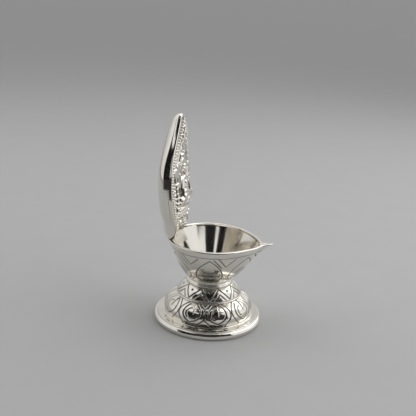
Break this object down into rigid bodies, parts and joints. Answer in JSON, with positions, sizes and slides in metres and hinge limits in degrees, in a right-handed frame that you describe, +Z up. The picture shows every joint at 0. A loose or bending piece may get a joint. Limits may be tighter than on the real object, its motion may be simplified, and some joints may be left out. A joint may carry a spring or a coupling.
{
  "type": "oil lamp",
  "caption": "Small silver diya: round engraved foot, oil bowl with a narrow wick beak, and a pointed relief plate standing up behind the bowl.",
  "frame": {"origin": "centre of the foot's flat underside, on the axis of the foot and the bowl", "axes": "+Z up from the foot, -Y towards the beak (the front), +X to the right of someone facing the lamp's front"},
  "size_m": [0.0408, 0.0431, 0.0773],
  "materials": {
    "polished_silver": "bright polished silver",
    "chased_silver": "embossed and engraved silver, polished on the high places"
  },
  "bodies": {
    "root": {"foot_ring": "polished_silver", "foot_disc": "polished_silver", "scroll_dome": "chased_silver", "zigzag_collar": "chased_silver", "neck_ring": "polished_silver", "oil_bowl": "polished_silver", "plate_back": "polished_silver", "plate_front": "chased_silver", "plate_bezel": "polished_silver"}
  },
  "joints": []
}
